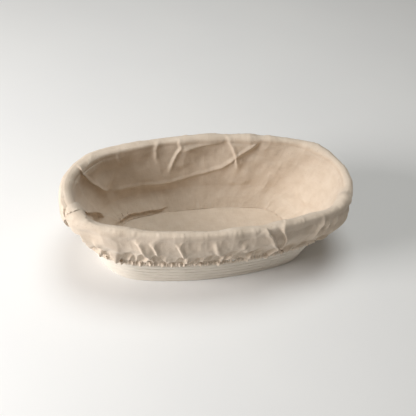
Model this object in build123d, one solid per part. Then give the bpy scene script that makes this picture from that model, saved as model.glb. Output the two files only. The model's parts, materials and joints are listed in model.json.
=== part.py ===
from build123d import *
import math
import os

# A long oval proofing basket: hoops of rattan cane stacked on a coiled cane base, with a loose cloth
# liner that lies in the bowl, rolls over the rim and is held outside by an elastic hem.
# Millimetres. The origin is the middle of the underside, X along the basket and Z up.

# ------------------------------------------------------------------ driving sizes
LENGTH = 300.0  # over the cloth at the rim
WIDTH = 150.0  # over the cloth at the rim
HEIGHT = 90.0  # from the table to the top of the cloth
RIM_END_RADIUS = 58.0  # of the rim cane's middle line, round each end
BASE_LENGTH = 235.0  # over the lowest hoop
BASE_WIDTH = 115.0
BASE_END_RADIUS = 47.5  # of the lowest hoop's middle line

# cane
WALL_COURSES = 13  # hoops above the base
CANE_WIDE = 5.2  # across the wall
CANE_GAP = 0.15  # between neighbouring canes
CANE_ROUNDING = 2.2
BASE_DRESSING = 0.35  # planed off the underside of the base canes
SCARF_SLANT = 38.0  # degrees, of the joint between a hoop's two ends
SCARF_GAP = 0.2
SCARF_BLADE = 3 * CANE_WIDE  # length and height of the cut, which goes right through a cane
BASE_TURNS = 8  # of the coil inside the lowest hoop
CORE_CANES = 4
CORE_HALF_LENGTH = 62.0
COIL_TAIL_X = -50.0  # where the coil's pared tail starts
LEAST_CHIP = 1.0  # cubic millimetres, of a piece that is still part of the tail

# pegs and pins
PEG_RADIUS = 0.75
PEG_CLEARANCE = 0.05
PEG_BELOW = 1.4  # how far a peg goes past the middle of the lower cane
PEG_ABOVE = 2.3  # and past the middle of the upper one
DRILL_ABOVE = 5.0  # the drill comes in through the top of the upper cane
PEG_STATION = 0.3  # share of the way along each arc of the oval
PEG_STAGGER = 0.4  # between one joint and the next
SCARF_STATIONS = (0.12, 0.5, 0.88)  # between the pegs
PIN_RADIUS = 0.9
PIN_PLACES = (-88.0, -60.0, 0.0, 60.0, 88.0)
PIN_HEIGHT = 2.9
PIN_REACH = 1.0  # past the middle of the lowest hoop

# cloth
CLOTH = 1.2  # thickness of the liner's cloth as it is modelled
CLOTH_GAP = 0.45  # between the cloth and the rim cane
FLOOR_GAP = 0.3  # between the cloth and the base
WALL_GAP = 0.9  # between the cloth and the wall canes
RIM_INNER_GAP = 1.5  # between the cloth and the inside of the rim cane
ROLL_ROUNDING = 4.0  # of the cloth over the rim
ROLL_FOOT = 83.0  # height where the roll ends and the wall and the skirt begin
FLOOR_SEAM_HALF_LENGTH = 98.0
FLOOR_SEAM_HALF_WIDTH = 39.0
FLOOR_SEAM_END_RADIUS = 34.0
COVE_TOP = 28.0  # height where the cloth reaches the wall canes
SKIRT_STANDS_OFF = 2.0  # from the canes at the hem

# hem
HEM_BOTTOM = 37.5
HEM_HIGH = 6.5
HEM_WIDE = 3.4
HEM_ROUNDING = 1.3
HEM_COURSE = 6  # the hoop that the elastic draws the hem in against
CHANNEL_HIGH = 5.1
CHANNEL_WIDE = 1.5
ELASTIC_HIGH = 4.5
ELASTIC_THICK = 0.9

# ------------------------------------------------------------------ sizes that follow
PITCH = (HEIGHT - CLOTH - CLOTH_GAP + CANE_GAP) / (WALL_COURSES + 1)
CANE_HIGH = PITCH - CANE_GAP
COIL_PITCH = CANE_WIDE + CANE_GAP
ROLL_OUTSIDE = CANE_WIDE / 2 + CLOTH_GAP + CLOTH
FLOOR_BOTTOM = CANE_HIGH + FLOOR_GAP
FLOOR_TOP = FLOOR_BOTTOM + CLOTH
HEM_TOP = HEM_BOTTOM + HEM_HIGH


class Oval:
    """Two end arcs and two flatter side arcs about the Z axis, tangent where they meet."""

    def __init__(self, half_length, half_width, end_radius):
        self.half_length = half_length
        self.half_width = half_width
        self.end_radius = end_radius
        self.end_centre = half_length - end_radius
        squares = self.end_centre**2 + half_width**2 - end_radius**2
        self.side_radius = squares / (2 * (half_width - end_radius))
        self.side_centre = self.side_radius - half_width
        self.side_turn = math.degrees(math.atan2(self.end_centre, self.side_centre))

    def grown(self, by):
        return Oval(self.half_length + by, self.half_width + by, self.end_radius + by)

    def arcs(self):
        """Centre, radius, start and sweep in degrees of each arc, anticlockwise from the +X end."""
        end_sweep = 180 - 2 * self.side_turn
        side_sweep = 2 * self.side_turn
        return (
            ((self.end_centre, 0), self.end_radius, self.side_turn - 90, end_sweep),
            ((0, -self.side_centre), self.side_radius, 90 - self.side_turn, side_sweep),
            ((-self.end_centre, 0), self.end_radius, 90 + self.side_turn, end_sweep),
            ((0, self.side_centre), self.side_radius, 270 - self.side_turn, side_sweep),
        )

    def place(self, arc, share, height):
        """The point a share of the way along one arc, and the direction of travel there."""
        (x, y), radius, start, sweep = self.arcs()[arc]
        heading = math.radians(start + share * sweep)
        point = Vector(x + radius * math.cos(heading), y + radius * math.sin(heading), height)
        return point, math.degrees(heading) + 90

    def outline(self, height):
        edges = [
            CenterArc((*centre, height), radius, start, sweep)
            for centre, radius, start, sweep in self.arcs()
        ]
        return Wire(edges)

    def panel(self, height, thickness):
        return extrude(make_face(self.outline(height)), thickness)


def turned(section, arc):
    """A section, drawn on XZ about the line that it follows, carried round one arc."""
    centre, radius, start, sweep = arc
    swept = revolve(Pos(radius, 0, 0) * section, Axis.Z, sweep)
    return Pos(*centre, 0) * Rot(0, 0, start) * swept


def ring(section, oval):
    pieces = [turned(section, arc) for arc in oval.arcs()]
    return pieces[0].fuse(*pieces[1:]).clean()


def shell(low, low_height, high, high_height, thickness):
    """A flared band of cloth between two heights; the ovals are its outer edges."""
    outer = Solid.make_loft([low.outline(low_height), high.outline(high_height)], ruled=True)
    inner_low = low.grown(-thickness).outline(low_height)
    inner_high = high.grown(-thickness).outline(high_height)
    return outer.cut(Solid.make_loft([inner_low, inner_high], ruled=True))


def course_oval(course):
    """The middle line of a hoop; course 0 is the lowest one and the last is the rim."""
    share = course / WALL_COURSES
    low = (BASE_LENGTH / 2 - CANE_WIDE / 2, BASE_WIDTH / 2 - CANE_WIDE / 2, BASE_END_RADIUS)
    high = (LENGTH / 2 - ROLL_OUTSIDE, WIDTH / 2 - ROLL_OUTSIDE, RIM_END_RADIUS)
    return Oval(*[a + (b - a) * share for a, b in zip(low, high)])


def course_height(course):
    return course * PITCH + CANE_HIGH / 2


def oval_at(height):
    return course_oval((height - CANE_HIGH / 2) / PITCH)


def cane_section(height):
    return Plane.XZ * Pos(0, height) * RectangleRounded(CANE_WIDE, CANE_HIGH, CANE_ROUNDING)


def base_section():
    """A cane planed flat underneath, so that the basket stands on it."""
    full_height = CANE_HIGH + BASE_DRESSING
    whole = Pos(0, CANE_HIGH - full_height / 2) * RectangleRounded(
        CANE_WIDE, full_height, CANE_ROUNDING
    )
    kept = Pos(0, CANE_HIGH / 2) * Rectangle(CANE_WIDE, CANE_HIGH)
    return Plane.XZ * (whole & kept)


def rod(start, finish, radius):
    """A round bar from one point to another."""
    along = finish - start
    return extrude(Plane(start, z_dir=along) * Circle(radius), along.length)


def peg_line(joint, arc, share):
    """The middle line of a peg, from the lower hoop of a joint to the upper one."""
    low, _ = course_oval(joint).place(arc, share, course_height(joint))
    high, _ = course_oval(joint + 1).place(arc, share, course_height(joint + 1))
    return low, high, (high - low).normalized()


def peg_lines(joint):
    share = PEG_STATION + PEG_STAGGER * (joint % 2)
    return [peg_line(joint, arc, share) for arc in range(4)]


def wall_pegs():
    pegs = []
    for joint in range(WALL_COURSES):
        for low, high, along in peg_lines(joint):
            pegs.append(rod(low - along * PEG_BELOW, high + along * PEG_ABOVE, PEG_RADIUS))
    return Compound(pegs)


def peg_holes(joint):
    radius = PEG_RADIUS + PEG_CLEARANCE
    return [
        rod(low - along * (PEG_BELOW + PEG_CLEARANCE), high + along * DRILL_ABOVE, radius)
        for low, high, along in peg_lines(joint)
    ]


def scarf_cut(course):
    """The thin slanting saw cut between a hoop's two pared ends, on one of its long sides."""
    side = 1 if course % 2 else 3
    share = SCARF_STATIONS[course % len(SCARF_STATIONS)]
    point, heading = course_oval(course).place(side, share, course_height(course))
    blade = Box(SCARF_BLADE, SCARF_GAP, SCARF_BLADE)
    return Pos(point) * Rot(0, 0, heading + SCARF_SLANT) * blade


def wall_course(course):
    hoop = ring(cane_section(course_height(course)), course_oval(course))
    cuts = [scarf_cut(course), *peg_holes(course - 1)]
    if course < WALL_COURSES:
        cuts += peg_holes(course)
    return hoop.cut(*cuts)


def cross_pin_bars(radius, reach):
    """Bars across the base, each ending a little past the middle of the lowest hoop."""
    bars = []
    for x in PIN_PLACES:
        half = hoop_half_width_at(x) + reach
        bars.append(rod(Vector(x, -half, PIN_HEIGHT), Vector(x, half, PIN_HEIGHT), radius))
    return bars


def hoop_half_width_at(x):
    """How far the lowest hoop's middle line is from the X axis."""
    hoop = course_oval(0)
    if abs(x) > hoop.side_radius * math.sin(math.radians(hoop.side_turn)):
        return math.sqrt(hoop.end_radius**2 - (abs(x) - hoop.end_centre) ** 2)
    return math.sqrt(hoop.side_radius**2 - x**2) - hoop.side_centre


def base_cross_pins():
    return Compound(cross_pin_bars(PIN_RADIUS, PIN_REACH))


def pin_holes():
    return cross_pin_bars(PIN_RADIUS + PEG_CLEARANCE, PIN_REACH + PEG_CLEARANCE)


def base_edge_hoop():
    hoop = ring(base_section(), course_oval(0))
    return hoop.cut(scarf_cut(0), *peg_holes(0), *pin_holes())


def half_turn(inset, below):
    """Half of one turn of the coil: the +Y half of an inset oval, or the -Y half set over by half a pitch."""
    oval = course_oval(0).grown(-inset)
    over = -COIL_PITCH / 2 if below else 0
    arcs = []
    for centre, radius, start, sweep in oval.arcs():
        first, last = start, start + sweep
        if below and centre[0] > 0:
            first, last = 360 + start, 360
        elif below and centre[0] < 0:
            first = 180
        elif centre[0] > 0:
            first = 0
        elif centre[0] < 0:
            last = 180
        on_this_half = (first + last) / 2 > 180 if below else (first + last) / 2 < 180
        if on_this_half:
            arcs.append(((centre[0] + over, centre[1]), radius, first, last - first))
    return [turned(base_section(), arc) for arc in arcs]


def coil_tail():
    """The coil's outer end, pared to a long taper against the lowest hoop."""
    pieces = half_turn(COIL_PITCH / 2, below=True)
    room = course_oval(0).grown(-CANE_WIDE / 2 - CANE_GAP).panel(0, CANE_HIGH)
    room = room & Pos(LENGTH / 2 + COIL_TAIL_X, 0, 0) * Box(LENGTH, WIDTH, HEIGHT)
    trimmed = [piece & room for piece in pieces]
    return [piece for piece in trimmed if piece.volume > LEAST_CHIP]


def base_coil():
    pieces = coil_tail()
    for turn in range(1, BASE_TURNS + 1):
        pieces += half_turn(turn * COIL_PITCH, below=False)
        if turn < BASE_TURNS:
            pieces += half_turn((turn + 0.5) * COIL_PITCH, below=True)
    coil = pieces[0].fuse(*pieces[1:]).clean()
    return coil.cut(*pin_holes())


def base_core_canes():
    """Straight canes that fill the almond inside the coil, pared at their edges to fit it."""
    above = course_oval(0).grown(-BASE_TURNS * COIL_PITCH)
    below = course_oval(0).grown(-(BASE_TURNS - 0.5) * COIL_PITCH)
    clear = CANE_WIDE / 2 + CANE_GAP
    over = -COIL_PITCH / 2
    upper_disc = Pos(0, -above.side_centre, CANE_HIGH / 2) * Cylinder(
        above.side_radius - clear, CANE_HIGH
    )
    lower_disc = Pos(over, below.side_centre, CANE_HIGH / 2) * Cylinder(
        below.side_radius - clear, CANE_HIGH
    )
    room = upper_disc & lower_disc
    middle = (above.half_width - below.half_width) / 2
    canes = []
    for number in range(CORE_CANES):
        y = middle + (number - (CORE_CANES - 1) / 2) * COIL_PITCH
        bar = extrude(Rot(0, 0, 90) * base_section(), CORE_HALF_LENGTH, both=True)
        cane = (Pos(0, y, 0) * bar) & room
        canes.append(cane.cut(*pin_holes()))
    return Compound(canes)


def liner_floor_panel():
    seam = Oval(FLOOR_SEAM_HALF_LENGTH, FLOOR_SEAM_HALF_WIDTH, FLOOR_SEAM_END_RADIUS)
    return seam.panel(FLOOR_BOTTOM, CLOTH)


def rim_roll():
    """The cloth over the rim cane, as an arch with a leg inside and a leg outside."""
    inside = -CANE_WIDE / 2 - RIM_INNER_GAP
    outside = CANE_WIDE / 2 + CLOTH_GAP
    deep = 2 * (HEIGHT - ROLL_FOOT)
    arch = Pos((inside + outside) / 2, ROLL_FOOT) * RectangleRounded(
        outside - inside + 2 * CLOTH, deep, ROLL_ROUNDING
    )
    hollow = Pos((inside + outside) / 2, ROLL_FOOT) * RectangleRounded(
        outside - inside, deep - 2 * CLOTH, ROLL_ROUNDING - CLOTH
    )
    below = Pos(0, ROLL_FOOT - deep / 2) * Rectangle(4 * ROLL_OUTSIDE, deep)
    return ring(Plane.XZ * (arch - hollow - below), course_oval(WALL_COURSES))


def liner_side_band():
    """The cloth strip from the floor seam up the wall and over the rim."""
    seam = Oval(FLOOR_SEAM_HALF_LENGTH, FLOOR_SEAM_HALF_WIDTH, FLOOR_SEAM_END_RADIUS)
    cove = oval_at(COVE_TOP).grown(-CANE_WIDE / 2 - WALL_GAP)
    foot = course_oval(WALL_COURSES).grown(-CANE_WIDE / 2 - RIM_INNER_GAP)
    low = shell(seam, FLOOR_TOP, cove, COVE_TOP, CLOTH)
    high = shell(cove, COVE_TOP, foot, ROLL_FOOT, CLOTH)
    return low.fuse(high, rim_roll()).clean()


def liner_skirt():
    """The cloth outside the rim, down to the hem."""
    hem = course_oval(HEM_COURSE).grown(CANE_WIDE / 2 + SKIRT_STANDS_OFF + CLOTH)
    foot = course_oval(WALL_COURSES).grown(ROLL_OUTSIDE)
    return shell(hem, HEM_TOP, foot, ROLL_FOOT, CLOTH)


def hem_oval():
    return course_oval(HEM_COURSE).grown(CANE_WIDE / 2 + CLOTH_GAP + HEM_WIDE / 2)


def liner_hem_casing():
    """The hem turned up into a hollow casing."""
    middle = HEM_BOTTOM + HEM_HIGH / 2
    section = RectangleRounded(HEM_WIDE, HEM_HIGH, HEM_ROUNDING) - Rectangle(
        CHANNEL_WIDE, CHANNEL_HIGH
    )
    return ring(Plane.XZ * Pos(0, middle) * section, hem_oval())


def liner_elastic():
    """The flat elastic that runs all the way round inside the casing."""
    middle = HEM_BOTTOM + HEM_HIGH / 2
    return ring(Plane.XZ * Pos(0, middle) * Rectangle(ELASTIC_THICK, ELASTIC_HIGH), hem_oval())


def main():
    nodes = {
        "base_core_canes": base_core_canes(),
        "base_coil": base_coil(),
        "base_edge_hoop": base_edge_hoop(),
        "base_cross_pins": base_cross_pins(),
        "wall_pegs": wall_pegs(),
        "rim_course": wall_course(WALL_COURSES),
        "liner_floor_panel": liner_floor_panel(),
        "liner_side_band": liner_side_band(),
        "liner_skirt": liner_skirt(),
        "liner_hem_casing": liner_hem_casing(),
        "liner_elastic": liner_elastic(),
    }
    for course in range(1, WALL_COURSES):
        nodes[f"wall_course_{course:02d}"] = wall_course(course)
    os.makedirs("parts", exist_ok=True)
    for name, shape in nodes.items():
        export_step(shape, f"parts/{name}.step")


main()
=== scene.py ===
import json
import math

import bpy
import numpy as np
from mathutils import Matrix, Vector


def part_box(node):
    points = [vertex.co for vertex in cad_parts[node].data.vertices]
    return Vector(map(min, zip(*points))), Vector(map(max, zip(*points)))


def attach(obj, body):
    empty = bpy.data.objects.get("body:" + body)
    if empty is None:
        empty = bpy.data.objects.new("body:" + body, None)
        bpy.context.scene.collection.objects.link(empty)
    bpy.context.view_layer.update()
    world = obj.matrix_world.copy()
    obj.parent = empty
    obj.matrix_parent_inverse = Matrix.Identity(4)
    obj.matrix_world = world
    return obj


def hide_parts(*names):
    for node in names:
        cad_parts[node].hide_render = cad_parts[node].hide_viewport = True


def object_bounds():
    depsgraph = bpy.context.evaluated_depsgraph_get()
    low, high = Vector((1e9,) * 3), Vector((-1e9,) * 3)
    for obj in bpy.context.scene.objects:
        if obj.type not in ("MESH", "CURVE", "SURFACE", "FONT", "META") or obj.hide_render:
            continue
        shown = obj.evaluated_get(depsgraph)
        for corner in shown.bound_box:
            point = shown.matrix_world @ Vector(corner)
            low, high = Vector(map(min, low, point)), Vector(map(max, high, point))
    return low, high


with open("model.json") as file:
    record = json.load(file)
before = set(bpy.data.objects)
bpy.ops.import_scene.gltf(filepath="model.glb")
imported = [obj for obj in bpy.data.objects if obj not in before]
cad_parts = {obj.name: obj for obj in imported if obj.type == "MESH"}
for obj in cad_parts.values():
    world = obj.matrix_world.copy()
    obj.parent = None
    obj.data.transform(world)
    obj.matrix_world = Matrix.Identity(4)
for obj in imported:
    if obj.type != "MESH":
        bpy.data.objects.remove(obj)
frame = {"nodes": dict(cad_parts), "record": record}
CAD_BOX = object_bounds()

# Looks for the long oval proofing basket: cane hoops on a coiled base, and a loose linen liner that lies in
# the bowl, rolls over the rim and is gathered outside by an elastic hem. Metres, in the CAD frame.

MM = 0.001
SEED = 7

# ------------------------------------------------------------------ sizes from the frame
RIM_HIGH = np.array(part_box("rim_course")[1])
HOOP_HIGH = np.array(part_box("base_edge_hoop")[1])
HEM_LOW, HEM_HIGH = (np.array(corner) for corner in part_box("liner_hem_casing"))
FLOOR_LOW, FLOOR_HIGH = (np.array(corner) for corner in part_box("liner_floor_panel"))
CLOTH_TOP = CAD_BOX[1][2]

CANE_WIDE = 5.2 * MM
WALL_COURSES = 13
HEM_COURSE = 6
BASE_END_RADIUS = 47.5 * MM
RIM_END_RADIUS = 58.0 * MM
FLOOR_SEAM = np.array([FLOOR_HIGH[0], FLOOR_HIGH[1], 34.0 * MM])  # half length, half width, end radius
CANE_HIGH = HOOP_HIGH[2]
PITCH = (RIM_HIGH[2] - CANE_HIGH) / WALL_COURSES

# ------------------------------------------------------------------ the liner's own sizes
CLOTH = 0.7 * MM
COLUMNS = 1344  # round the liner
ROW_STEP = 0.9 * MM  # up the wall and down the skirt
FINE_STEP = 0.75 * MM  # over the rim and round the hem
COVE_TOP = 28.0 * MM
ROLL_FOOT = 83.0 * MM
WALL_OFF_CANE = 1.5 * MM
RIM_INSIDE = 4.7 * MM  # the middle of the cloth, from the rim cane's middle line
RIM_OUTSIDE = 3.65 * MM
SKIRT_PUFF = 4.2 * MM
HEM_TOP = HEM_HIGH[2]
HEM_BOTTOM = HEM_LOW[2]
CREST = 2.2 * MM  # width of the narrow ridge along a fold
LEAST_GAP = 0.2 * MM  # between the cloth and the cane
SOFT_STOP = 0.35 * MM  # how gradually the cane stops the cloth


# ------------------------------------------------------------------ ovals
def course_oval(course):
    """Half length, half width and end radius of a cane hoop's middle line; 0 is the lowest hoop."""
    share = course / WALL_COURSES
    half = CANE_WIDE / 2
    low = np.array([HOOP_HIGH[0] - half, HOOP_HIGH[1] - half, BASE_END_RADIUS])
    high = np.array([RIM_HIGH[0] - half, RIM_HIGH[1] - half, RIM_END_RADIUS])
    return low + (high - low) * share


def oval_at(height):
    return course_oval((height - CANE_HIGH / 2) / PITCH)


def around(ovals, arc, share):
    """Points on four-arc ovals, one row per oval and one column per place round it."""
    length, width, end = (ovals[:, k : k + 1] for k in range(3))
    end_centre = length - end
    side = (end_centre**2 + width**2 - end**2) / (2 * (width - end))
    side_centre = side - width
    turn = np.arctan2(end_centre, side_centre)
    on_end = (arc % 2 == 0)[None, :]
    quarter = arc[None, :] * math.pi / 2
    sweep = np.where(on_end, math.pi - 2 * turn, 2 * turn)
    heading = quarter + (share[None, :] - 0.5) * sweep
    radius = np.where(on_end, end, side)
    shift = np.where(on_end, end_centre, -side_centre)
    x = np.cos(quarter) * shift + radius * np.cos(heading)
    y = np.sin(quarter) * shift + radius * np.sin(heading)
    return x, y


def even_places(oval, count):
    """Arc number and share along it for places evenly spaced round an oval."""
    fine = 4000
    arc = np.repeat(np.arange(4), fine)
    share = np.tile((np.arange(fine) + 0.5) / fine, 4)
    x, y = around(np.array([oval]), arc, share)
    step = np.hypot(np.diff(x[0], append=x[0, 0]), np.diff(y[0], append=y[0, 0]))
    run = np.concatenate([[0], np.cumsum(step)[:-1]])
    place = np.interp(np.arange(count) / count * step.sum(), run, np.arange(4 * fine) / fine)
    return np.floor(place).astype(int), place % 1, step.sum()


# ------------------------------------------------------------------ the liner's base shape
def profile():
    """The liner from the floor seam to the turned-up hem, in rows of half length, half width, end radius
    and height."""
    rim = course_oval(WALL_COURSES)
    hem = course_oval(HEM_COURSE) + CANE_WIDE / 2
    cove = oval_at(COVE_TOP) - CANE_WIDE / 2 - WALL_OFF_CANE
    wall = rim - RIM_INSIDE
    skirt = hem + 2.6 * MM
    shoulder = rim + RIM_OUTSIDE
    inward = skirt - rim - RIM_OUTSIDE
    keys = [
        (FLOOR_SEAM - 0.6 * MM, FLOOR_LOW[2] + 0.2 * MM, ROW_STEP),
        (FLOOR_SEAM + (cove - FLOOR_SEAM) * 0.25, FLOOR_HIGH[2] + 3.6 * MM, ROW_STEP),
        (cove, COVE_TOP, ROW_STEP),
        ((cove + wall) / 2, (COVE_TOP + ROLL_FOOT) / 2, ROW_STEP),
        (wall, ROLL_FOOT, FINE_STEP),
        (rim - RIM_INSIDE * 0.97, CLOTH_TOP - 3.6 * MM, FINE_STEP),
        (rim - RIM_INSIDE * 0.72, CLOTH_TOP - 1.4 * MM, FINE_STEP),
        (rim - RIM_INSIDE * 0.12, CLOTH_TOP - 0.4 * MM, FINE_STEP),
        (rim + RIM_OUTSIDE * 0.66, CLOTH_TOP - 1.4 * MM, FINE_STEP),
        (rim + RIM_OUTSIDE * 1.0, CLOTH_TOP - 4.0 * MM, FINE_STEP),
        (rim + RIM_OUTSIDE * 1.05, ROLL_FOOT - 2.0 * MM, ROW_STEP),
        (shoulder + inward * 0.3 + SKIRT_PUFF, HEM_TOP + 27 * MM, ROW_STEP),
        (shoulder + inward * 0.65 + SKIRT_PUFF * 0.6, HEM_TOP + 14 * MM, ROW_STEP),
        (skirt + 2.8 * MM, HEM_TOP + 4.0 * MM, FINE_STEP),
        (skirt - 0.2 * MM, HEM_TOP, FINE_STEP),
        (skirt + 0.9 * MM, (HEM_TOP + HEM_BOTTOM) / 2, FINE_STEP),
        (hem + 2.1 * MM, HEM_BOTTOM + 0.4 * MM, FINE_STEP),
        (hem + 1.0 * MM, (HEM_TOP + HEM_BOTTOM) / 2, FINE_STEP),
        (hem + 1.2 * MM, HEM_TOP - 0.6 * MM, FINE_STEP),
    ]
    points = np.array([[*oval, height] for oval, height, _ in keys])
    steps = [step for _, _, step in keys]
    rows = smooth_rows(points, steps)
    for row in rows[: int(np.argmax(rows[:, 3]))]:
        if row[3] < ROLL_FOOT:
            row[:3] = np.minimum(row[:3], oval_at(row[3]) - CANE_WIDE / 2 - WALL_OFF_CANE)
    return rows


def smooth_rows(points, steps):
    """A curve through the key rows, with rows about a step apart."""
    padded = np.vstack([2 * points[0] - points[1], points, 2 * points[-1] - points[-2]])
    rows = []
    for k in range(len(points) - 1):
        before, start, end, after = padded[k : k + 4]
        span = np.hypot(end[0] - start[0], end[3] - start[3])
        count = max(2, int(round(span / steps[k])))
        scale_in = span / max(np.hypot(*(start - before)[[0, 3]]), 1e-6)
        scale_out = span / max(np.hypot(*(after - end)[[0, 3]]), 1e-6)
        tangent_in = ((end - start) + (start - before) * scale_in) / 2
        tangent_out = ((end - start) + (after - end) * scale_out) / 2
        for t in np.arange(count) / count:
            rows.append(
                (2 * t**3 - 3 * t**2 + 1) * start
                + (t**3 - 2 * t**2 + t) * tangent_in
                + (3 * t**2 - 2 * t**3) * end
                + (t**3 - t**2) * tangent_out
            )
    rows.append(points[-1])
    return np.array(rows)


class Sheet:
    """A grid of cloth: rows from the floor seam to the hem, columns closed round the basket."""

    def __init__(self, rows, columns):
        self.arc, self.share, self.girth = even_places(course_oval(WALL_COURSES), columns)
        x, y = around(rows[:, :3], self.arc, self.share)
        self.base = np.dstack([x, y, np.repeat(rows[:, 3:4], columns, axis=1)])
        step = np.hypot(np.diff(rows[:, 0]), np.diff(rows[:, 3]))
        self.down = np.concatenate([[0], np.cumsum(step)])  # along the cloth from the floor seam
        self.turn = np.arange(columns) / columns
        self.ovals, self.height = rows[:, :3], rows[:, 3]
        top = int(np.argmax(self.height))
        self.outside = np.arange(len(rows)) > top
        self.anywhere = np.ones(len(rows), dtype=bool)
        along_rows = np.gradient(self.base, axis=0)
        along_columns = np.roll(self.base, -1, axis=1) - np.roll(self.base, 1, axis=1)
        normal = np.cross(along_rows, along_columns)
        self.normal = normal / np.linalg.norm(normal, axis=2, keepdims=True)
        self.lift = np.zeros(self.base.shape[:2])
        self.slide = np.zeros(self.base.shape)

    def points(self):
        return self.base + self.normal * self.lift[:, :, None] + self.slide


def smoothstep(x):
    x = np.clip(x, 0, 1)
    return x * x * (3 - 2 * x)


def waves(rng, turn, counts, size):
    """A smooth random line round the basket, from waves that close on themselves."""
    total = np.zeros_like(turn)
    for count in counts:
        total += np.sin(2 * math.pi * (count * turn + rng.random())) * rng.uniform(0.5, 1.0)
    return total * size / math.sqrt(len(counts))


# ------------------------------------------------------------------ folds
def curved(route):
    """A smooth line through a few points."""
    points = np.array(route, dtype=float)
    padded = np.vstack([2 * points[0] - points[1], points, 2 * points[-1] - points[-2]])
    line = []
    for before, start, end, after in zip(padded, padded[1:], padded[2:], padded[3:]):
        for t in np.arange(6) / 6:
            square = (2 * before - 5 * start + 4 * end - after) * t**2
            cube = (3 * start - before - 3 * end + after) * t**3
            line.append(start + 0.5 * ((end - before) * t + (square + cube)))
    return np.array([*line, points[-1]])


def fold(sheet, route, rise, slow, sharp, lean=0.0, fade=8.0, where="inside", edge=0.45):
    """A fold along a route of points on the cloth, in millimetres. It climbs over the slow width on the left
    of the route, as the cloth faces, and drops over the sharp width on the right; lean pushes its crest over
    the drop. The edge is the share of its height in a narrow ridge along the crest. It fades at its ends."""
    wanted = curved(route) * MM
    allowed = {"inside": ~sheet.outside, "outside": sheet.outside, "over the rim": sheet.anywhere}[where]
    reach = 2.6 * max(slow, sharp) * MM
    low, high = wanted.min(axis=0) - reach, wanted.max(axis=0) + reach
    near = ((sheet.base > low) & (sheet.base < high)).all(axis=2) & allowed[:, None]
    places = sheet.base[near]
    normals = sheet.normal[near]
    snapped = [places[np.argmin(((places - p) ** 2).sum(axis=1))] for p in wanted]
    nearest = np.full(len(places), np.inf)
    side, along = np.zeros(len(places)), np.zeros(len(places))
    across = np.zeros(places.shape)
    run = 0.0
    for start, end in zip(snapped, snapped[1:]):
        length = np.linalg.norm(end - start)
        if length < 0.1 * MM:
            continue
        heading = (end - start) / length
        offset = places - start
        t = np.clip(offset @ heading, 0, length)
        gap = offset - t[:, None] * heading
        distance = np.linalg.norm(gap, axis=1)
        closer = distance < nearest
        sign = np.sign((np.cross(heading, gap) * normals).sum(axis=1))
        nearest[closer] = distance[closer]
        side[closer] = sign[closer]
        along[closer] = run + t[closer]
        across[closer] = np.cross(normals[closer], heading)
        run += length
    on_slow = side > 0
    ridge = np.exp(-((nearest / np.where(on_slow, CREST, sharp * MM)) ** 2))
    slope = np.exp(-((nearest / np.where(on_slow, slow * MM, sharp * MM)) ** 2))
    ends = smoothstep((run - along) / (fade * MM)) * smoothstep(along / (fade * MM))
    strength = (edge * ridge + (1 - edge) * slope) * ends
    sheet.lift[near] += rise * MM * strength
    sheet.slide[near] -= across * (lean * MM * slope * ends)[:, None]


def wall_folds(sheet):
    """The folds that the loose cloth takes inside the bowl."""
    # one long fold climbs along the far wall from the left end to the rim
    long_fold = [(-100, 42, 43), (-72, 51, 42), (-36, 56, 39), (-6, 58, 44), (27, 60, 53), (45, 61, 69)]
    long_fold.append((70, 60, 89))
    fold(sheet, long_fold, rise=2.6, slow=13, sharp=3.4, lean=1.1, fade=14)
    fold(sheet, [(-22, 65, 76), (2, 66, 81), (32, 65, 86)], rise=1.5, slow=6, sharp=3.0, lean=0.5)
    # short folds run down from the rim
    over = "over the rim"
    fold(sheet, [(-92, 58, 89), (-91, 55, 86), (-88, 54, 78), (-80, 54, 60)], 1.3, 6, 2.6, 0.4, 14, over)
    fold(sheet, [(-41, 70, 88), (-44, 65, 89), (-48, 63, 80), (-45, 61, 58)], 1.5, 6, 2.6, 0.5, 15, over)
    middle = [(-24, 71, 88), (-24, 67, 90), (-20, 65, 80), (-26, 63, 69), (-34, 60, 46)]
    fold(sheet, middle, 2.4, 8, 2.6, 0.8, 15, over)
    fold(sheet, [(-8, 66, 82), (-16, 64, 68), (-17, 61, 52)], rise=1.6, slow=8, sharp=6, edge=0.2)
    right = [(30, 71, 88), (31, 67, 90), (38, 64, 80), (44, 61, 64), (48, 58, 46)]
    fold(sheet, right, 2.4, 8, 2.4, 0.8, 15, over)
    fold(sheet, [(44, 61, 66), (44, 57, 44), (40, 54, 24)], rise=1.8, slow=9, sharp=8, edge=0.1)
    fold(sheet, [(66, 60, 70), (58, 56, 48), (60, 52, 26)], rise=1.3, slow=10, sharp=9, edge=0.1)
    left_end_folds(sheet)


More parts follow.
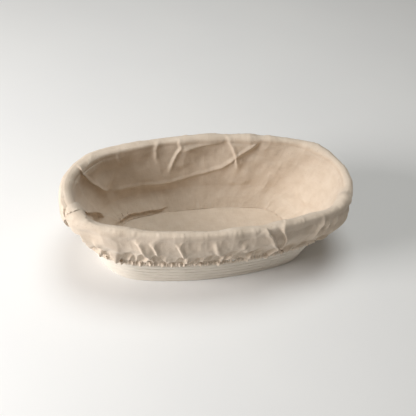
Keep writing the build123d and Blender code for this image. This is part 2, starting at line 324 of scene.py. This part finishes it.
def left_end_folds(sheet):
    """The slack at the left end, which lies over itself."""
    # a flap from the rim down to the long fold
    flap = [(-133, 36, 89), (-129, 34, 83), (-117, 38, 65), (-105, 43, 50), (-96, 45, 44)]
    fold(sheet, flap, rise=4.2, slow=16, sharp=2.0, lean=3.6, fade=10, edge=0.2)
    # a deep crease beside it
    crease = [(-108, 25, 22), (-116, 21, 34), (-128, 17, 58), (-138, 15, 80), (-142, 13, 88)]
    fold(sheet, crease, rise=2.8, slow=6, sharp=1.4, lean=2.8, fade=10, edge=0.2)
    # a lip above the gap behind the near rim
    lip = [(-134, -5, 72), (-125, 7, 53), (-113, 20, 34), (-103, 26, 22)]
    fold(sheet, lip, 3.2, 8, 1.6, 2.8, 8, edge=0.3)
    # the near rim's roll ends in a lobe over the end's cloth
    lobe = [(-114, 8, 34), (-123, -3, 50), (-131, -14, 68), (-137, -24, 83), (-141, -32, 90)]
    lobe += [(-146, -39, 82), (-142, -44, 68)]
    fold(sheet, lobe, rise=4.2, slow=18, sharp=1.7, lean=4.0, fade=10, where="over the rim", edge=0.0)
    # cloth pushed out over the end of the floor
    bulge = [(-92, 22, 10), (-102, 23, 19), (-114, 21, 28)]
    fold(sheet, bulge, rise=3.0, slow=9, sharp=1.6, lean=2.6, fade=6, edge=0.1)
    seam_fold = [(-97, 20, 9), (-92, 26, 12), (-84, 34, 14), (-64, 40, 13), (-30, 43, 12)]
    fold(sheet, seam_fold, rise=3.4, slow=10, sharp=1.7, lean=2.8, fade=16, edge=0.1)


def skirt_folds(sheet):
    """Single folds outside the rim that are larger than the gathers."""
    out, over = "outside", "over the rim"
    fold(sheet, [(-88, -63, 84), (-79, -65, 74), (-66, -63, 46)], 2.6, 7, 2.2, 0.9, 9, out)
    fold(sheet, [(-74, -68, 84), (-66, -67, 73), (-56, -66, 46)], 2.6, 7, 2.0, 0.9, 9, out)
    fold(sheet, [(-50, -71, 82), (-42, -71, 70), (-34, -69, 46)], 2.8, 8, 2.0, 0.9, 9, out)
    fold(sheet, [(-14, -74, 84), (-8, -73, 68), (3, -70, 46)], 2.0, 7, 3.0, 0.4, 11, out)
    fold(sheet, [(14, -74, 80), (20, -72, 64), (30, -70, 46)], 0.9, 7, 3.0, 0.2, 12, out)
    fold(sheet, [(-122, -50, 74), (-108, -54, 58), (-98, -56, 42)], 2.4, 5, 2.2, 0.6, 8, out)
    fold(sheet, [(-134, -40, 80), (-122, -48, 60), (-112, -51, 42)], 2.2, 5, 2.2, 0.6, 8, out)
    fold(sheet, [(-140, -28, 76), (-132, -38, 58), (-124, -42, 42)], 2.0, 5, 2.2, 0.6, 8, out)
    # two folds that run together under the rim, with a hollow between them
    fold(sheet, [(56, -68, 50), (48, -72, 66), (40, -73, 80), (33, -69, 91)], 3.2, 9, 1.8, 1.6, 8, over)
    fold(sheet, [(50, -68, 91), (57, -72, 82), (60, -70, 70), (56, -67, 50)], 2.8, 9, 1.8, 1.4, 8, over)
    # long slanting pleats towards the right end
    for start in (62, 71, 80, 90, 100, 110):
        route = [(start, -64, 44), (start + 15, -61, 58), (start + 36, -50, 82)]
        fold(sheet, route, 3.6, 5, 1.9, 1.6, 9, out)
    fold(sheet, [(112, -50, 90), (126, -42, 88), (138, -30, 80)], 1.8, 9, 8, 0.0, 12, over, edge=0.1)
    fold(sheet, [(118, -40, 90), (128, -40, 90), (137, -38, 76)], 1.6, 5, 5, 0.0, 10, over, edge=0.1)


def hem_line(sheet):
    """How far each row is above and below the top of the hem, along the cloth."""
    row = int(np.argmin(np.where(sheet.outside, np.abs(sheet.height - HEM_TOP), np.inf)))
    above = np.clip(sheet.down[row] - sheet.down, 0, None)
    below = np.clip(sheet.down - sheet.down[row], 0, None)
    return above[:, None], below[:, None]


def bunches(rng, girth, pitch):
    """Places round the basket about a pitch apart, with uneven gaps."""
    count = int(girth / pitch)
    return (np.arange(count) + rng.uniform(-0.33, 0.33, count)) / count * girth


def gathers(sheet, rng):
    """The cloth above the elastic hem: hollows between bunches, and small folds that fan up from the hem."""
    above, below = hem_line(sheet)
    run = (sheet.turn * sheet.girth)[None, :]
    on_skirt = sheet.outside[:, None]
    total = np.zeros_like(sheet.lift)

    def gap_from(place, slant):
        gap = run - place - slant * above
        return (gap + sheet.girth / 2) % sheet.girth - sheet.girth / 2

    for place in bunches(rng, sheet.girth, 9.4 * MM):
        depth, reach = rng.uniform(3.4, 6.4) * MM, rng.uniform(12, 23) * MM
        gap = gap_from(place, rng.normal(0.55, 0.25))
        hollow = np.exp(-((gap / (2.3 * MM + 0.07 * above)) ** 2))
        rising = smoothstep((above + 0.6 * MM) / (3.0 * MM)) * np.exp(-((above / reach) ** 4))
        total -= depth * hollow * rising
    for place in bunches(rng, sheet.girth, 8.5 * MM):
        rise, reach = rng.uniform(1.0, 3.0) * MM, rng.uniform(10, 30) * MM
        gap = gap_from(place, rng.normal(0.5, 0.3))
        uneven = np.where(gap > 0, 0.7, 1.3)
        ridge = np.exp(-((gap / ((1.3 * MM + 0.07 * above) * uneven)) ** 2))
        total += rise * ridge * np.exp(-((above / reach) ** 2))
    for place in bunches(rng, sheet.girth, 4.1 * MM):
        rise, reach = rng.uniform(0.5, 1.3) * MM, rng.uniform(2.5, 6) * MM
        gap = gap_from(place, rng.normal(0.2, 0.3))
        total += rise * np.exp(-((gap / (1.0 * MM)) ** 2)) * np.exp(-((above / reach) ** 2))
    past_hem = 1 - 0.6 * smoothstep(below / (7 * MM))
    sheet.lift += total * on_skirt * past_hem
    ripple = waves(rng, sheet.turn, (97, 131, 163), 0.5 * MM)
    at_bottom = np.exp(-(((below - 5 * MM) / (4 * MM)) ** 2)) * on_skirt
    sheet.slide[:, :, 2] += ripple[None, :] * at_bottom


def seam_puckers(sheet, rng):
    """Small puckers where the wall cloth is eased on to the floor seam, in some places more than others."""
    from_seam = sheet.down[:, None]
    pucker = waves(rng, sheet.turn, (47, 59, 71, 89, 97, 113), 0.32 * MM)
    share = smoothstep(0.5 + waves(rng, sheet.turn, (3, 5, 8), 0.8))
    reach = 6 * MM * (1 + 0.5 * waves(rng, sheet.turn, (13, 21), 1.0))
    sheet.lift += (pucker * share)[None, :] * np.exp(-(((from_seam - 3.5 * MM) / reach[None, :]) ** 2))


def slackness(sheet, rng):
    """The soft unevenness of loose cloth everywhere."""
    rows = sheet.down[:, None] / sheet.down[-1]
    for count, size in ((5, 0.7), (9, 0.6), (14, 0.5), (23, 0.35), (37, 0.2)):
        phase = rng.random(2)
        drift = waves(rng, sheet.turn, (2, 3, 5), 0.8)
        place = count * sheet.turn[None, :] + phase[0] + drift[None, :] * 0.4 + rows * 1.7
        swing = np.sin(2 * math.pi * place)
        rise = 0.5 + 0.5 * np.sin(2 * math.pi * (rows * count / 6 + phase[1]))
        sheet.lift += swing * rise * size * MM * np.sin(math.pi * np.clip(rows * 1.1, 0, 1))


def rim_fullness(sheet, rng):
    """The cloth lies loosely over the rim, so its roll is fuller than the cane, most at the left end."""
    climb = smoothstep((sheet.height - 66 * MM) / (17 * MM))
    over_top = smoothstep((sheet.height - 87 * MM) / (3 * MM))
    share = np.where(sheet.outside, 0.0, climb * (1 - 0.8 * over_top))
    end = np.exp(-(((sheet.turn - 0.5) / 0.11) ** 2))
    full = 1.1 * MM + 2.6 * MM * end + waves(rng, sheet.turn, (7, 11, 17), 0.5 * MM)
    sheet.lift += share[:, None] * full[None, :]


def patches(sheet, rng, cell):
    """Smooth random patches over the cloth, from -1 to 1, about a cell wide."""
    wide = int(round(sheet.girth / cell))
    across = sheet.turn * wide
    up = sheet.down / cell
    grid = rng.uniform(-1, 1, (int(up[-1]) + 3, wide))
    left, low = np.floor(across).astype(int), np.floor(up).astype(int)
    s, t = smoothstep(across - left)[None, :], smoothstep(up - low)[:, None]
    right = (left + 1) % wide
    left = left % wide
    bottom = grid[low][:, left] * (1 - s) + grid[low][:, right] * s
    top = grid[low + 1][:, left] * (1 - s) + grid[low + 1][:, right] * s
    return bottom * (1 - t) + top * t


def crumples(sheet, rng):
    """Fine soft creases, where patches of the cloth meet at an angle."""
    shift = patches(sheet, rng, 34 * MM)
    for cell, size in ((23 * MM, 0.85), (11.5 * MM, 0.40), (6.1 * MM, 0.18)):
        crease = 1 - np.abs(patches(sheet, rng, cell) + 0.25 * shift)
        looser = np.where(sheet.outside, 1.7, 1.0)[:, None]
        sheet.lift += (crease - 0.6) * size * looser * MM


def keep_off_cane(sheet):
    """Lets no cloth sink further towards the cane than the room there."""
    canes = np.array([oval_at(height) for height in sheet.height])[:, :2]
    outward = np.where(sheet.outside, 1, -1)[:, None]
    gap = (outward * (sheet.ovals[:, :2] - canes)).min(axis=1) - CANE_WIDE / 2
    room = np.where(sheet.height < ROLL_FOOT, gap - CLOTH - LEAST_GAP, LEAST_GAP)
    room = np.convolve(np.pad(np.clip(room, LEAST_GAP, 6 * MM), 3, mode="edge"), np.ones(7) / 7, mode="valid")
    raised = (sheet.lift + room[:, None]) / SOFT_STOP
    free = 20  # above this the stop makes no difference
    eased = np.where(raised > free, raised, np.log1p(np.exp(np.minimum(raised, free))))
    sheet.lift = SOFT_STOP * eased - room[:, None]


# ------------------------------------------------------------------ meshes
def closed_grid(points):
    """Quads over a grid whose columns close round."""
    rows, columns = points.shape[:2]
    row, column = np.meshgrid(np.arange(rows - 1), np.arange(columns), indexing="ij")
    beside = (column + 1) % columns
    here, above = row * columns, (row + 1) * columns
    return np.dstack([here + column, above + column, above + beside, here + beside]).reshape(-1, 4)


def add_mesh(name, points, quads, uv, extra=()):
    mesh = bpy.data.meshes.new(name)
    mesh.from_pydata(points.reshape(-1, 3).tolist(), [], [*quads.tolist(), *extra])
    layer = mesh.uv_layers.new(name="cloth")
    corners = np.empty(len(mesh.loops), dtype=np.int32)
    mesh.loops.foreach_get("vertex_index", corners)
    layer.data.foreach_set("uv", uv.reshape(-1, 2)[corners].ravel())
    mesh.polygons.foreach_set("use_smooth", np.ones(len(mesh.polygons), dtype=bool))
    mesh.update()
    piece = bpy.data.objects.new(name, mesh)
    bpy.context.scene.collection.objects.link(piece)
    return piece


def thicken(piece, thickness):
    """Gives a sheet its thickness on the side towards the cane."""
    solid = piece.modifiers.new("cloth thickness", "SOLIDIFY")
    solid.thickness = thickness
    solid.offset = -1.0
    solid.use_even_offset = False


def side_cloth():
    """The strip of cloth that lines the wall, rolls over the rim and ends in the hem."""
    rng = np.random.default_rng(SEED)
    sheet = Sheet(profile(), COLUMNS)
    slackness(sheet, rng)
    rim_fullness(sheet, rng)
    seam_puckers(sheet, rng)
    wall_folds(sheet)
    skirt_folds(sheet)
    gathers(sheet, rng)
    crumples(sheet, rng)
    keep_off_cane(sheet)
    points = sheet.points()
    u = np.repeat((sheet.turn * sheet.girth)[None, :], len(points), axis=0)
    v = np.repeat(sheet.down[:, None], COLUMNS, axis=1)
    piece = add_mesh("liner_side_cloth", points, closed_grid(points), np.dstack([u, v]))
    thicken(piece, CLOTH)
    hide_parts("liner_side_band", "liner_skirt", "liner_hem_casing")
    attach(piece, "liner")
    return piece


def floor_cloth():
    """The oval panel in the bottom of the bowl."""
    rng = np.random.default_rng(SEED + 1)
    columns, rings = 288, 34
    arc, share, _ = even_places(course_oval(WALL_COURSES), columns)
    x, y = around(FLOOR_SEAM[None, :], arc, share)
    reach = 1 - (1 - np.linspace(0, 1, rings)[1:]) ** 1.4
    xs, ys = reach[:, None] * x, reach[:, None] * y
    height = np.full_like(xs, FLOOR_HIGH[2])
    for _ in range(7):
        heading = rng.uniform(-0.5, 0.5)
        place = rng.uniform(-0.03, 0.03)
        gap = ys * math.cos(heading) - xs * math.sin(heading) - place
        ridge = np.exp(-((gap / (1.6 * MM)) ** 2))
        stretch = np.exp(-(((xs - rng.uniform(-0.06, 0.06)) / 0.04) ** 2))
        height += 0.35 * MM * ridge * stretch
    for count, size in ((2, 0.3), (3, 0.25), (5, 0.15)):
        phase = rng.random(2) * 6.3
        height += size * MM * np.sin(count * xs / 0.03 + phase[0]) * np.cos(count * ys / 0.03 + phase[1])
    edge = smoothstep((reach - 0.93) / 0.07)[:, None]
    height -= 1.1 * MM * edge
    points = np.dstack([xs, ys, height])
    centre = np.array([0.0, 0.0, height[0].mean()])
    flat = np.vstack([points.reshape(-1, 3), centre])
    quads = closed_grid(points)
    hub = len(flat) - 1
    fan = [(hub, c, (c + 1) % columns) for c in range(columns)]
    piece = add_mesh("liner_floor_cloth", flat, quads, flat[:, :2], fan)
    thicken(piece, CLOTH)
    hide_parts("liner_floor_panel")
    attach(piece, "liner")
    return piece


# ------------------------------------------------------------------ materials
class Shader:
    """A small helper for building node materials."""

    def __init__(self, name):
        self.material = bpy.data.materials.new(name)
        self.material.use_nodes = True
        self.nodes = self.material.node_tree.nodes
        self.links = self.material.node_tree.links
        self.surface = self.nodes["Principled BSDF"]

    def node(self, kind, **settings):
        made = self.nodes.new(kind)
        for key, value in settings.items():
            setattr(made, key, value)
        return made

    def feed(self, socket, value):
        if isinstance(value, bpy.types.NodeSocket):
            self.links.new(value, socket)
        else:
            socket.default_value = value

    def math(self, operation, a, b=0.0, clamp=False):
        made = self.node("ShaderNodeMath", operation=operation, use_clamp=clamp)
        self.feed(made.inputs[0], a)
        self.feed(made.inputs[1], b)
        return made.outputs[0]

    def scaled(self, vector, scale):
        made = self.node("ShaderNodeMapping")
        self.feed(made.inputs["Vector"], vector)
        made.inputs["Scale"].default_value = scale
        return made.outputs[0]

    def noise(self, vector, scale, detail=2.0, roughness=0.5):
        made = self.node("ShaderNodeTexNoise")
        self.feed(made.inputs["Vector"], vector)
        made.inputs["Scale"].default_value = scale
        made.inputs["Detail"].default_value = detail
        made.inputs["Roughness"].default_value = roughness
        return made.outputs["Fac"]

    def bands(self, vector, scale, direction, distortion=0.0):
        made = self.node("ShaderNodeTexWave", wave_type="BANDS", bands_direction=direction)
        self.feed(made.inputs["Vector"], vector)
        made.inputs["Scale"].default_value = scale
        made.inputs["Distortion"].default_value = distortion
        made.inputs["Detail"].default_value = 1.0
        return made.outputs["Fac"]

    def ramp(self, value, *stops):
        made = self.node("ShaderNodeValToRGB")
        self.feed(made.inputs["Fac"], value)
        elements = made.color_ramp.elements
        while len(elements) < len(stops):
            elements.new(0.5)
        for element, (place, colour) in zip(elements, stops):
            element.position = place
            element.color = (*colour, 1.0)
        return made.outputs["Color"]

    def mixed(self, share, a, b):
        """Two colours mixed; each is a socket or three numbers."""
        made = self.node("ShaderNodeMix", data_type="RGBA")
        self.feed(made.inputs["Factor"], share)
        for name, value in (("A", a), ("B", b)):
            socket = next(s for s in made.inputs if s.type == "RGBA" and s.name == name)
            self.feed(socket, (*value, 1.0) if isinstance(value, tuple) else value)
        return next(s for s in made.outputs if s.type == "RGBA")

    def bump(self, height, strength, distance):
        made = self.node("ShaderNodeBump")
        made.inputs["Strength"].default_value = strength
        made.inputs["Distance"].default_value = distance
        self.feed(made.inputs["Height"], height)
        self.links.new(made.outputs["Normal"], self.surface.inputs["Normal"])


def linen():
    """Plain-woven unbleached linen: warp and weft, slubs, faint mottling and a few darker flecks."""
    s = Shader("linen")
    uv = s.node("ShaderNodeUVMap", uv_map="cloth").outputs["UV"]
    threads_per_metre = 1300
    per_wave = threads_per_metre / 3.2
    warp = s.bands(uv, per_wave, "X", 0.6)
    weft = s.bands(uv, per_wave, "Y", 0.6)
    weave = s.math("ADD", s.math("MULTIPLY", warp, 0.5), s.math("MULTIPLY", weft, 0.5))
    slub_along = s.noise(s.scaled(uv, (40, 1400, 1)), 1.0, 2.0)
    slub_up = s.noise(s.scaled(uv, (1400, 40, 1)), 1.0, 2.0)
    slubs = s.math("MAXIMUM", slub_along, slub_up)
    mottle = s.noise(uv, 90.0, 3.0, 0.6)
    wide = s.noise(uv, 14.0, 2.0)
    cloth = s.ramp(mottle, (0.3, (0.67, 0.55, 0.435)), (0.7, (0.77, 0.655, 0.54)))
    thick = s.math("MULTIPLY", s.math("SUBTRACT", slubs, 0.5, clamp=True), 1.6)
    cloth = s.mixed(thick, cloth, (0.84, 0.75, 0.63))
    gaps = s.math("MULTIPLY", s.math("SUBTRACT", 0.55, weave, clamp=True), 0.5)
    cloth = s.mixed(gaps, cloth, (0.48, 0.37, 0.26))
    cloth = s.mixed(s.math("MULTIPLY", wide, 0.22), cloth, (0.62, 0.54, 0.43))
    flecks = s.math("GREATER_THAN", s.noise(uv, 900.0, 0.0), 0.79)
    cloth = s.mixed(s.math("MULTIPLY", flecks, 0.45), cloth, (0.33, 0.22, 0.13))
    s.links.new(cloth, s.surface.inputs["Base Color"])
    s.surface.inputs["Roughness"].default_value = 0.9
    s.surface.inputs["Specular IOR Level"].default_value = 0.25
    s.surface.inputs["Sheen Weight"].default_value = 0.25
    s.surface.inputs["Sheen Roughness"].default_value = 0.5
    height = s.math("ADD", weave, s.math("MULTIPLY", slubs, 1.3))
    height = s.math("ADD", height, s.math("MULTIPLY", mottle, 0.8))
    s.bump(height, 0.55, 0.00025)
    return s.material


def cane():
    """Pale split rattan: fine lines along the cane, slow changes of tone and a dull dressed surface."""
    s = Shader("cane")
    place = s.node("ShaderNodeTexCoord").outputs["Object"]
    lines = s.noise(s.scaled(place, (14, 14, 1500)), 1.0, 3.0, 0.65)
    broad = s.noise(s.scaled(place, (9, 9, 60)), 1.0, 2.0)
    marks = s.noise(s.scaled(place, (120, 120, 420)), 1.0, 2.0)
    colour = s.ramp(lines, (0.3, (0.825, 0.755, 0.66)), (0.62, (0.84, 0.775, 0.685)))
    colour = s.mixed(s.math("MULTIPLY", broad, 0.3), colour, (0.86, 0.80, 0.71))
    spots = s.math("MULTIPLY", s.math("SUBTRACT", marks, 0.6, clamp=True), 0.9)
    colour = s.mixed(spots, colour, (0.55, 0.42, 0.29))
    s.links.new(colour, s.surface.inputs["Base Color"])
    s.surface.inputs["Specular IOR Level"].default_value = 0.35
    rough = s.math("ADD", 0.5, s.math("MULTIPLY", lines, 0.25))
    s.links.new(rough, s.surface.inputs["Roughness"])
    s.bump(lines, 0.12, 0.00012)
    return s.material


def bamboo():
    """Split bamboo pegs and pins."""
    s = Shader("bamboo")
    place = s.node("ShaderNodeTexCoord").outputs["Object"]
    grain = s.noise(s.scaled(place, (900, 60, 60)), 1.0, 3.0)
    colour = s.ramp(grain, (0.3, (0.5, 0.36, 0.2)), (0.7, (0.7, 0.56, 0.36)))
    s.links.new(colour, s.surface.inputs["Base Color"])
    s.surface.inputs["Roughness"].default_value = 0.6
    s.bump(grain, 0.4, 0.0002)
    return s.material


def braided_elastic():
    """Flat braided elastic, off-white."""
    s = Shader("braided_elastic")
    place = s.node("ShaderNodeTexCoord").outputs["Object"]
    braid = s.bands(place, 330.0, "Z", 1.5)
    tone = s.noise(place, 300.0, 2.0)
    shade = s.math("MULTIPLY", s.math("ADD", braid, tone), 0.5)
    colour = s.ramp(shade, (0.2, (0.66, 0.64, 0.6)), (0.8, (0.85, 0.84, 0.8)))
    s.links.new(colour, s.surface.inputs["Base Color"])
    s.surface.inputs["Roughness"].default_value = 0.75
    s.bump(braid, 0.5, 0.0003)
    return s.material


def paper_floor():
    """Plain pale paper under the basket."""
    s = Shader("pale_floor")
    place = s.node("ShaderNodeTexCoord").outputs["Object"]
    colour = s.ramp(s.noise(place, 6.0, 2.0), (0.3, (0.86, 0.86, 0.86)), (0.7, (0.88, 0.88, 0.875)))
    s.links.new(colour, s.surface.inputs["Base Color"])
    s.surface.inputs["Roughness"].default_value = 0.9
    return s.material


def dress(pieces, material):
    for piece in pieces:
        if not piece.data.materials:
            piece.data.materials.append(material)
        for slot in piece.material_slots:
            slot.material = material


def dress_cad_nodes():
    finish = {"cane": cane(), "peg_wood": bamboo(), "elastic": braided_elastic(), "linen": None}
    for entry in frame["record"]["subparts"]:
        material = finish[entry["material_slot"]]
        if material:
            dress([frame["nodes"][entry["node"]]], material)


# ------------------------------------------------------------------ stage, lights and camera
AZIMUTH, ELEVATION, ROLL = -18.5, 45.45, 8.68  # degrees
DISTANCE = 0.600
AIM = Vector((0.0, 0.0, 0.045))
AIM_HIGHER = 0.0024
LENS = 48.9


def camera_axes():
    azimuth, elevation, roll = (math.radians(a) for a in (AZIMUTH, ELEVATION, ROLL))
    out = math.cos(elevation)
    back = Vector((math.sin(azimuth) * out, -math.cos(azimuth) * out, math.sin(elevation)))
    level = Vector((math.cos(azimuth), math.sin(azimuth), 0.0))
    upright = back.cross(level)
    right = level * math.cos(roll) + upright * math.sin(roll)
    up = upright * math.cos(roll) - level * math.sin(roll)
    return right, up, back


def add_camera():
    right, up, back = camera_axes()
    data = bpy.data.cameras.new("camera")
    data.lens = LENS
    data.sensor_width = 36.0
    camera = bpy.data.objects.new("camera", data)
    turn = Matrix((right, up, back)).transposed().to_4x4()
    camera.matrix_world = Matrix.Translation(AIM + up * AIM_HIGHER + back * DISTANCE) @ turn
    bpy.context.scene.collection.objects.link(camera)
    bpy.context.scene.camera = camera


def add_light(name, place, aim, size, power, colour):
    data = bpy.data.lights.new(name, "AREA")
    data.shape = "DISK"
    data.size = size
    data.energy = power
    data.color = colour
    light = bpy.data.objects.new(name, data)
    light.location = place
    light.rotation_euler = (Vector(aim) - Vector(place)).to_track_quat("-Z", "Y").to_euler()
    bpy.context.scene.collection.objects.link(light)


def add_stage():
    mesh = bpy.data.meshes.new("floor")
    reach = 3.0
    corners = [(-reach, -reach, 0), (reach, -reach, 0), (reach, reach, 0), (-reach, reach, 0)]
    mesh.from_pydata(corners, [], [(0, 1, 2, 3)])
    floor = bpy.data.objects.new("floor", mesh)
    bpy.context.scene.collection.objects.link(floor)
    mesh.materials.append(paper_floor())
    world = bpy.data.worlds.new("studio")
    world.use_nodes = True
    background = world.node_tree.nodes["Background"]
    background.inputs["Color"].default_value = (1.0, 0.90, 0.78, 1.0)
    background.inputs["Strength"].default_value = 0.14
    bpy.context.scene.world = world
    add_light("key", (-1.05, -0.18, 0.50), (0.0, 0.0, 0.05), 0.45, 13.0, (1.0, 0.98, 0.97))
    add_light("overhead", (0.1, 0.25, 1.5), (0.0, 0.0, 0.05), 0.8, 9.3, (0.96, 1.0, 1.0))
    bpy.context.scene.view_settings.view_transform = "Standard"


cloth = linen()
dress([side_cloth(), floor_cloth()], cloth)
dress_cad_nodes()
add_stage()
add_camera()
